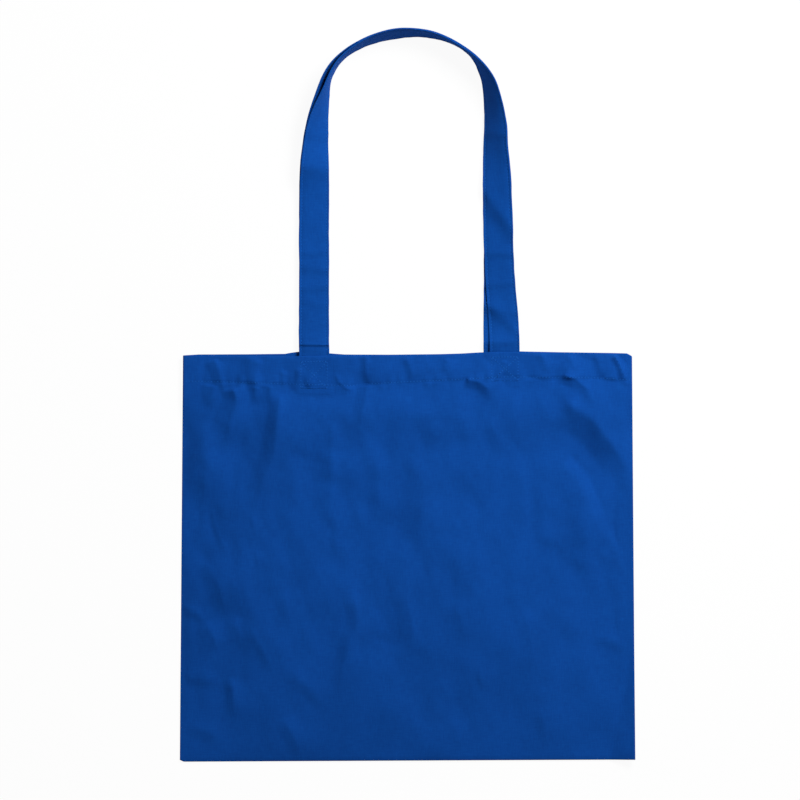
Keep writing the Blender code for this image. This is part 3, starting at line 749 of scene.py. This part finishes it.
def strap_section():
    """Middle line of the four folded layers, as place across, thickness and layer."""
    edge = EDGE_ROW_INSET
    inner = [0.0009, 0.0017, edge, edge + 0.0007, edge + 0.0018, 0.0075, 0.0108, STRAP_WIDTH / 2]
    places = inner + [STRAP_WIDTH - place for place in reversed(inner[:-1])]
    open_edge = STRAP_CLOTH / 2
    closed_edge = STRAP_WIDTH - STRAP_CLOTH / 2
    raw = [place for place in places if place < STRAP_WIDTH - STRAP_RAW_EDGE - 0.0002]
    raw_edge = STRAP_WIDTH - STRAP_RAW_EDGE

    def laid(row, layer):
        """Places in one layer, or on the way from one to the next."""
        return [(place, STRAP_CLOTH / 2 + STRAP_LAYER * layer, layer) for place in row]

    def fold(edge_place, low, high, bulge, steps):
        """The turned edge between two layers."""
        turn = []
        for step in range(steps + 1):
            angle = math.pi * step / steps
            share = (1 - math.cos(angle)) / 2
            layer = low + (high - low) * share
            turn += laid([edge_place + bulge * (math.sin(angle) - 1)], layer)
        return turn

    section = laid([raw_edge] + raw[::-1], 1) + fold(open_edge, 1, 0, -STRAP_LAYER / 2, 4)
    section += laid(places, 0) + fold(closed_edge, 0, 3, STRAP_LAYER * 0.8, 8)
    section += laid(places[::-1], 3) + fold(open_edge, 3, 2, -STRAP_LAYER / 2, 4)
    return np.array(section + laid(raw + [raw_edge], 2), dtype=float)


def strap_points(strap):
    """Middle plane of a handle's cloth, station by station."""
    section = strap_section()
    across, thick, layer = section.T
    travel = strap.travelled[:, None]
    relief = strap.relief(*np.broadcast_arrays(travel, across, layer))
    return strap.at(travel, across, thick + relief)


# Stitches


THREAD_WIDTH = 0.00062
THREAD_HEIGHT = 0.00042
STITCH_PITCH = 0.0030
STITCH_LENGTH = 0.0029
STITCH_SINK = 0.00002
BOX_PITCH = 0.0027
LOOP_RADIUS = 0.0010
LOOP_THREAD = 0.00014
LOOP_PITCH = 0.0022
LOOP_SLANT = 0.25
UP = np.array([0.0, 0.0, 1.0])


def begin_pattern(name, axis):
    """Names the newest object, opens it for modelling and turns it a quarter about an axis."""
    item = bpy.context.object
    item.name = name
    bpy.ops.object.mode_set(mode="EDIT")
    bpy.ops.mesh.select_all(action="SELECT")
    bpy.ops.transform.rotate(value=math.pi / 2, orient_axis=axis, center_override=(0.0, 0.0, 0.0))
    return item


def model_stitch():
    """One stitch, thick in the middle, with both ends dipping into the cloth."""
    bpy.ops.mesh.primitive_uv_sphere_add(segments=8, ring_count=6, radius=1.0)
    stitch = begin_pattern("stitch_pattern", "Y")
    bpy.ops.transform.resize(value=(STITCH_LENGTH / 2, THREAD_WIDTH / 2, THREAD_HEIGHT / 2))
    bpy.ops.mesh.select_all(action="DESELECT")
    bpy.ops.object.mode_set(mode="OBJECT")
    for limit, drop in ((0.30, 0.00003), (0.45, 0.00012)):
        for vertex in stitch.data.vertices:
            vertex.select = abs(vertex.co.x) > limit * STITCH_LENGTH
        bpy.ops.object.mode_set(mode="EDIT")
        bpy.ops.transform.translate(value=(0.0, 0.0, -drop))
        bpy.ops.object.mode_set(mode="OBJECT")
    return stitch


def sew(name, pattern, places, towards, normals):
    """A row of copies of one stitch as a single piece, each at its own place and turn."""
    shape = np.array([vertex.co for vertex in pattern.data.vertices])
    faces = [list(face.vertices) for face in pattern.data.polygons]
    towards = towards / np.linalg.norm(towards, axis=1)[:, None]
    across = np.cross(normals, towards)
    across /= np.linalg.norm(across, axis=1)[:, None]
    up = np.cross(towards, across)
    points = places[:, None] + shape @ np.stack([towards, across, up], axis=1)
    count = len(shape)
    firsts = [count * index for index in range(len(places))]
    all_faces = [[corner + first for corner in face] for first in firsts for face in faces]
    mesh = bpy.data.meshes.new(name)
    mesh.from_pydata(points.reshape(-1, 3).tolist(), [], all_faces)
    mesh.shade_smooth()
    # Share of the way to a stitch's end, which masks the shade painted on its ends
    hole_shade_mask = np.abs(shape[:, 0]) / np.abs(shape[:, 0]).max()
    layer = mesh.attributes.new("hole_shade_mask", "FLOAT", "POINT")
    layer.data.foreach_set("value", np.tile(hole_shade_mask, len(places)).astype(np.float32))
    return add_object(name, mesh)


def stitch_along(points, normals, pitch=STITCH_PITCH):
    """Middles, directions and normals of stitches laid end to end along a line."""
    gaps = np.linalg.norm(np.diff(points, axis=0), axis=1)
    passed = np.concatenate([[0.0], np.cumsum(gaps)])
    count = max(1, round(passed[-1] / pitch))
    marks = passed[-1] * (np.arange(count) + 0.5) / count
    normals = np.broadcast_to(normals, points.shape)
    half = passed[-1] / count * 0.4

    def read(table, at):
        return np.stack([np.interp(at, passed, column) for column in table.T], axis=1)

    towards = read(points, marks + half) - read(points, marks - half)
    return read(points, marks), towards, read(normals, marks)


def sew_lines(name, pattern, lines):
    """The stitches of several lines as a single piece."""
    return sew(name, pattern, *[np.vstack(group) for group in zip(*lines)])


def wall_line(x, v, depth, offset):
    """Points on the front wall at a depth below its outermost layer, raised by offset."""
    v = v + 0 * x
    z = front_height(x, v) - depth + offset
    return np.stack([x, v + edge_shift(x, v) + BASE_Y, z], axis=1)


def make_hem_rows(pattern):
    """The row of stitches around each hem, on the outside and on the inside."""
    above = CLOTH / 2 - STITCH_SINK
    centre = float(half_width(HEM_ROW)) - CLOTH / 2 - float(roll_radius(HEM_ROW))
    x = np.linspace(-centre, centre, 400)
    short = np.linspace(-(centre - SEAM_ALLOWANCE), centre - SEAM_ALLOWANCE, 400)
    outer = stitch_along(wall_line(x, HEM_ROW, 0.0, above), UP)
    inner = stitch_along(wall_line(short, HEM_ROW, 2 * PITCH, -above), -UP)
    front = sew_lines("front_hem_stitches", pattern, (outer, inner))
    y = HEM_ROW + edge_shift(short, HEM_ROW, False) + BASE_Y
    groove = back_relief(HEM_ROW + 0 * short)
    top = np.stack([short, y, BACK_Z + 2 * PITCH + groove + above], axis=1)
    low = np.stack([short, y, BACK_Z + groove - above], axis=1)
    back = sew_lines("back_hem_stitches", pattern, (stitch_along(low, -UP), stitch_along(top, UP)))
    return front, back


def make_edge_rows(strap, pattern, name, place):
    """The stitches along one edge of a handle, on both of its faces."""
    travel = np.linspace(STRAP_TUCK + 0.002, strap.length - STRAP_TUCK - 0.002, 900)
    lines = []
    for layer, side in ((3, 1.0), (0, -1.0)):
        thick = STRAP_CLOTH / 2 + STRAP_LAYER * layer + side * (STRAP_CLOTH / 2 - STITCH_SINK)
        across = place + 0 * travel
        relief = strap.relief(travel, across, layer)
        points = strap.at(travel, across, thick + relief)
        lines.append(stitch_along(points, side * strap.read(travel, strap.face)))
    return sew_lines(name, pattern, lines)


def make_box(pattern, name, x, front):
    """The stitched rectangle with two diagonals that holds a handle's end."""
    low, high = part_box(name)
    half_w = (high.x - low.x) / 2
    top = high.y - BASE_Y
    bottom = low.y - BASE_Y
    corners = [(x - half_w, top), (x + half_w, top), (x + half_w, bottom), (x - half_w, bottom)]
    order = [0, 1, 2, 3, 0, 2, 3, 1]
    lines = []
    for start, end in zip(order, order[1:]):
        across = np.linspace(corners[start][0], corners[end][0], 40)
        v = np.linspace(corners[start][1], corners[end][1], 40)
        if front:
            points = wall_line(across, v, 0.0, CLOTH / 2 - STITCH_SINK)
        else:
            top_z = STRAP_SEAT + STRAP_STACK - STITCH_SINK
            points = np.stack([across, v + BASE_Y, np.full(40, top_z)], axis=1)
        lines.append(stitch_along(points, UP, BOX_PITCH))
    return sew_lines(name.replace("stitching", "stitches"), pattern, lines)


def back_relief(v):
    """How far the back panel is raised off the floor, along its hem's row of stitches."""
    return BACK_GROOVE * np.exp(-(((v - HEM_ROW) / BACK_GROOVE_WIDTH) ** 2))


def model_loop():
    """One loop of the overlock thread around a raw edge."""
    bpy.ops.mesh.primitive_torus_add(
        major_segments=8, minor_segments=4, major_radius=LOOP_RADIUS, minor_radius=LOOP_THREAD
    )
    loop = begin_pattern("loop_pattern", "X")
    bpy.ops.transform.resize(value=(1.5, 1.0, 0.62))
    bpy.ops.object.mode_set(mode="OBJECT")
    return loop


def make_overlock(pattern, name, side):
    """The loops of thread over the two raw side edges, inside the bag."""
    v = np.arange(0.006, BODY_HEIGHT - HEM_DEPTH - 0.003, LOOP_PITCH)
    radius = roll_radius(v)
    raw = half_width(v) - CLOTH / 2 - radius - SEAM_ALLOWANCE
    x = side * (raw + 0.0008)
    z = BACK_Z + 2 * radius + PITCH / 2 + corner_lift(x, v)
    places = np.stack([x, v + BASE_Y, z], axis=1)
    towards = np.broadcast_to((side, LOOP_SLANT, 0.0), places.shape)
    return sew(name, pattern, places, towards, np.broadcast_to(UP, places.shape))


# Finishes, with the deep and the worn shade of each cotton

BODY_BLUES = ((0.0026, 0.0540, 0.287), (0.0033, 0.0661, 0.332))
HANDLE_BLUES = ((0.0025, 0.0535, 0.280), (0.0031, 0.0660, 0.326))
THREAD_BLUE = (0.0062, 0.101, 0.440)
# Painted shade: the thread's colour towards both ends of each stitch, where it goes down into the cloth
NEEDLE_HOLE_SHADE = (0.0003, 0.004, 0.034)
WHITE = (1.0, 1.0, 1.0, 1.0)
THREADS_PER_METRE = 2300.0
COTTON_FINISH = {
    "Roughness": 0.92, "Specular IOR Level": 0.06, "Sheen Weight": 0.06, "Sheen Roughness": 0.5,
    "Sheen Tint": (0.05, 0.25, 0.90, 1.0),
}
THREAD_FINISH = {"Roughness": 0.75, "Specular IOR Level": 0.08}


def new_material(name, colour, finish):
    """A new material and its shader, with a colour and the values of a finish."""
    material = bpy.data.materials.new(name)
    material.use_nodes = True
    shader = material.node_tree.nodes["Principled BSDF"]
    shader.inputs["Base Color"].default_value = (*colour, 1.0)
    for socket, value in finish.items():
        shader.inputs[socket].default_value = value
    return material, shader


class Nodes:
    """Short ways to add and join the nodes of a material or a world."""

    def __init__(self, owner):
        self.tree = owner.node_tree

    def add(self, kind, values=(), **settings):
        node = self.tree.nodes.new(kind)
        for key, value in settings.items():
            setattr(node, key, value)
        for socket, value in dict(values).items():
            if hasattr(value, "is_output"):
                self.tree.links.new(value, node.inputs[socket])
            else:
                node.inputs[socket].default_value = value
        return node

    def math(self, operation, first, second=0.0, third=0.0):
        return self.add("ShaderNodeMath", {0: first, 1: second, 2: third}, operation=operation).outputs[0]

    def noise(self, vector, scale, detail=2.0, roughness=0.5):
        values = {"Vector": vector, "Scale": scale, "Detail": detail, "Roughness": roughness}
        return self.add("ShaderNodeTexNoise", values).outputs["Fac"]

    def stretched(self, vector, scale):
        return self.add("ShaderNodeMapping", {"Vector": vector, "Scale": scale}).outputs["Vector"]

    def ranged(self, value, low, high, start=0.0, end=1.0):
        values = {"Value": value, "From Min": low, "From Max": high, "To Min": start, "To Max": end}
        return self.add("ShaderNodeMapRange", values).outputs[0]

    def finish(self, shader, colour, height, strength, distance):
        values = {"Strength": strength, "Distance": distance, "Height": height}
        bump = self.add("ShaderNodeBump", values)
        self.tree.links.new(colour, shader.inputs["Base Color"])
        self.tree.links.new(bump.outputs["Normal"], shader.inputs["Normal"])

    def blend(self, share, first, second, mode="MIX"):
        values = {0: share, 6: first, 7: second}
        return self.add("ShaderNodeMix", values, data_type="RGBA", blend_type=mode).outputs[2]


def cotton(name, deep, worn):
    """Plain-woven cotton: threads over and under, slubs along both threads, soft mottling."""
    material, shader = new_material(name, worn, COTTON_FINISH)
    nodes = Nodes(material)
    flat = nodes.add("ShaderNodeUVMap", uv_map="cloth").outputs["UV"]
    parts = nodes.add("ShaderNodeSeparateXYZ", {0: flat})
    across = nodes.math("MULTIPLY", parts.outputs["X"], math.pi * THREADS_PER_METRE)
    upward = nodes.math("MULTIPLY", parts.outputs["Y"], math.pi * THREADS_PER_METRE * 0.92)
    over = nodes.math("MULTIPLY", nodes.math("SINE", across), nodes.math("SINE", upward))
    crossing = nodes.math("ABSOLUTE", over)
    slub_up = nodes.noise(nodes.stretched(flat, (900.0, 110.0, 1.0)), 1.0, 2.0, 0.6)
    slub_across = nodes.noise(nodes.stretched(flat, (110.0, 900.0, 1.0)), 1.0, 2.0, 0.6)
    slubs = nodes.math("ADD", slub_up, slub_across)
    fluff = nodes.noise(flat, 2600.0, 2.0, 0.6)
    mottle = nodes.noise(flat, 24.0, 3.0, 0.55)
    weave = nodes.math("MULTIPLY_ADD", crossing, 0.7, nodes.math("MULTIPLY", over, 0.2))
    height = nodes.math("MULTIPLY_ADD", slubs, 1.6, weave)
    height = nodes.math("MULTIPLY_ADD", fluff, 0.5, height)
    colour = nodes.blend(nodes.ranged(slubs, 0.72, 1.28), (*deep, 1.0), (*worn, 1.0))
    shade = nodes.ranged(mottle, 0.3, 0.7, 0.96, 1.04)
    grey = nodes.add("ShaderNodeCombineXYZ", {0: shade, 1: shade, 2: shade}).outputs[0]
    colour = nodes.blend(1.0, colour, grey, "MULTIPLY")
    nodes.finish(shader, colour, height, 0.35, 0.00012)
    return material


def spun_thread(name, colour, deep):
    """Sewing thread of two plies, with shade painted on as the deep colour towards both ends of each
    stitch, where it goes down through its needle holes.
    """
    material, shader = new_material(name, colour, THREAD_FINISH)
    nodes = Nodes(material)
    place = nodes.add("ShaderNodeTexCoord").outputs["Object"]
    turned = nodes.add("ShaderNodeMapping", {"Vector": place, "Rotation": (0.0, 0.0, 0.6)})
    wave = {"Vector": turned.outputs["Vector"], "Scale": 900.0, "Distortion": 0.6}
    plies = nodes.add("ShaderNodeTexWave", wave).outputs["Fac"]
    light = tuple(min(1.0, value * 1.2) for value in colour)
    dark = tuple(value * 0.85 for value in colour)
    hole_shade_mask = nodes.add("ShaderNodeAttribute", attribute_name="hole_shade_mask").outputs["Fac"]
    twisted = nodes.blend(plies, (*dark, 1.0), (*light, 1.0))
    # Painted shade: the colour turns to the dark hole shade towards both ends of each stitch
    shade = nodes.blend(nodes.ranged(hole_shade_mask, 0.40, 0.70), twisted, (*deep, 1.0))
    nodes.finish(shader, shade, plies, 0.4, 0.00005)
    return material


def studio_white():
    """A white floor that keeps a light shadow, as seen by the camera."""
    material, shader = new_material("studio_white", (0.95, 0.95, 0.95), {"Roughness": 0.9})
    nodes = Nodes(material)
    path = nodes.add("ShaderNodeLightPath")
    shown = nodes.math("MULTIPLY", path.outputs["Is Camera Ray"], 0.94)
    glow = nodes.add("ShaderNodeEmission", {"Color": WHITE, "Strength": 1.0}).outputs[0]
    mixed = nodes.add("ShaderNodeMixShader", {0: shown, 1: shader.outputs[0], 2: glow}).outputs[0]
    nodes.tree.links.new(mixed, nodes.tree.nodes["Material Output"].inputs["Surface"])
    return material


# The studio

FLOOR_SIZE = 6.0
FLOOR_DROP = 0.0002
LAMP_PLACE = (0.80, 1.02, 1.36)
LAMP_SIZE = 0.7
LAMP_POWER = 40.4
WORLD_LIGHT = 0.20


def make_floor(material):
    """A plain pale floor under the bag."""
    bpy.ops.mesh.primitive_plane_add(size=FLOOR_SIZE, location=(0.0, 0.0, -FLOOR_DROP))
    floor = bpy.context.object
    floor.name = "studio_floor"
    floor.data.materials.append(material)


def make_lamp():
    """A soft square lamp to the upper right, which faces the bag."""
    lamp = bpy.data.lights.new("window_light", "AREA")
    lamp.shape = "SQUARE"
    lamp.size = LAMP_SIZE
    lamp.energy = LAMP_POWER
    turn = (-Vector(LAMP_PLACE)).to_track_quat("-Z", "Y").to_matrix().to_4x4()
    add_object("window_light", lamp).matrix_world = Matrix.Translation(LAMP_PLACE) @ turn


def make_world():
    """Even light from all around, which the camera and mirrors see as white."""
    world = bpy.data.worlds.new("studio_world")
    world.use_nodes = True
    bpy.context.scene.world = world
    nodes = Nodes(world)
    soft = nodes.tree.nodes["Background"]
    soft.inputs["Color"].default_value = WHITE
    soft.inputs["Strength"].default_value = WORLD_LIGHT
    white = nodes.add("ShaderNodeBackground", {"Color": WHITE, "Strength": 1.0}).outputs[0]
    path = nodes.add("ShaderNodeLightPath").outputs
    mirrored = nodes.math("MAXIMUM", path["Is Glossy Ray"], path["Is Transmission Ray"])
    shown = nodes.math("MAXIMUM", path["Is Camera Ray"], mirrored)
    mixed = nodes.add("ShaderNodeMixShader", {0: shown, 1: soft.outputs[0], 2: white}).outputs[0]
    nodes.tree.links.new(mixed, nodes.tree.nodes["World Output"].inputs["Surface"])


def make_camera():
    """The camera looks straight down, with the handles at the top of the picture."""
    camera = bpy.data.cameras.new("camera")
    camera.sensor_width = 36.0
    camera.lens = camera.sensor_width * CAMERA_PLACE[2] / VIEW_WIDTH
    camera.clip_start = 0.01
    camera.clip_end = 50.0
    item = add_object("camera", camera)
    item.location = CAMERA_PLACE
    bpy.context.scene.camera = item


def finish_piece(piece, node, slot, material):
    """Joins a piece to the frame in place of its plain solid, with its finish."""
    piece.data.materials.clear()
    piece.data.materials.append(material)
    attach(piece, "root")
    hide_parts(node)


def main():
    """Builds every piece, then the studio around them."""
    body_cotton = cotton("body_cotton", *BODY_BLUES)
    handle_cotton = cotton("handle_cotton", *HANDLE_BLUES)
    thread = ("sewing_thread", spun_thread("blue_thread", THREAD_BLUE, NEEDLE_HOLE_SHADE))
    body = sheet_object("bag_cloth", body_points())
    thicken(body, CLOTH)
    finish_piece(body, "bag_body", "cotton_cloth", body_cotton)
    stitch = model_stitch()
    loop = model_loop()
    for front, side in ((True, "front"), (False, "back")):
        strap = Strap(front)
        handle = sheet_object(side + "_handle_cloth", strap_points(strap))
        thicken(handle, STRAP_CLOTH)
        finish_piece(handle, side + "_handle", "handle_cloth", handle_cotton)
        for edge, place in (("inner", EDGE_ROW_INSET), ("outer", STRAP_WIDTH - EDGE_ROW_INSET)):
            row = make_edge_rows(strap, stitch, f"{side}_handle_{edge}_stitches", place)
            finish_piece(row, f"{side}_handle_{edge}_stitching", *thread)
        for leg, x in (("left", LEFT_LEG_X), ("right", RIGHT_LEG_X + (FRONT_LEG_SHIFT if front else 0.0))):
            node = f"{side}_{leg}_box_stitching"
            finish_piece(make_box(stitch, node, x, front), node, *thread)
    for piece, node in zip(make_hem_rows(stitch), ("front_hem_stitching", "back_hem_stitching")):
        finish_piece(piece, node, *thread)
    for side, name in ((-1, "left"), (1, "right")):
        seam = make_overlock(loop, name + "_side_seam_loops", side)
        finish_piece(seam, name + "_side_seam_thread", *thread)
    bpy.data.objects.remove(stitch)
    bpy.data.objects.remove(loop)
    make_floor(studio_white())
    make_world()
    make_lamp()
    make_camera()
    bpy.context.scene.view_settings.view_transform = "Standard"


main()
